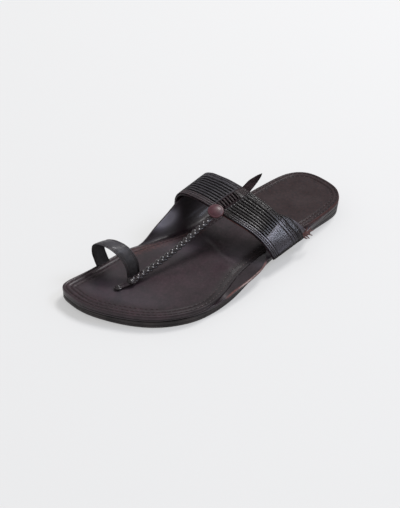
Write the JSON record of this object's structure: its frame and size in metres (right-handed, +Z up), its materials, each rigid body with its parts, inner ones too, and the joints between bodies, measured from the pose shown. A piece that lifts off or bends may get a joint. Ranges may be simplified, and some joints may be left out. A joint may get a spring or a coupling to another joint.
{
  "type": "leather toe-ring sandal",
  "caption": "Flat leather slide for the left foot with a slit instep band held by turned-up sole ears, a plaited thong, a big-toe ring and an oval tab.",
  "frame": {"origin": "on the floor under the middle of the sandal's outer box", "axes": "+Z up, toe towards -Y, heel towards +Y, outer side of the left foot towards +X"},
  "size_m": [0.1118, 0.285, 0.0612],
  "materials": {
    "sole_leather": "matt dark brown to black, waxed cut edge",
    "heel_leather": "matt dark brown to black, stacked cut edge",
    "ear_leather": "dark brown semi-gloss face with a reddish raw edge",
    "footbed_leather": "dark aubergine brown, softly burnished",
    "band_leather": "near-black, glossy",
    "tab_leather": "dull oxblood, glossy rim"
  },
  "bodies": {
    "root": {"outsole": "sole_leather", "heel_lift": "heel_leather", "midsole": "ear_leather", "footbed": "footbed_leather", "upper": "band_leather", "toe_ring": "band_leather", "tab": "tab_leather"}
  },
  "joints": []
}
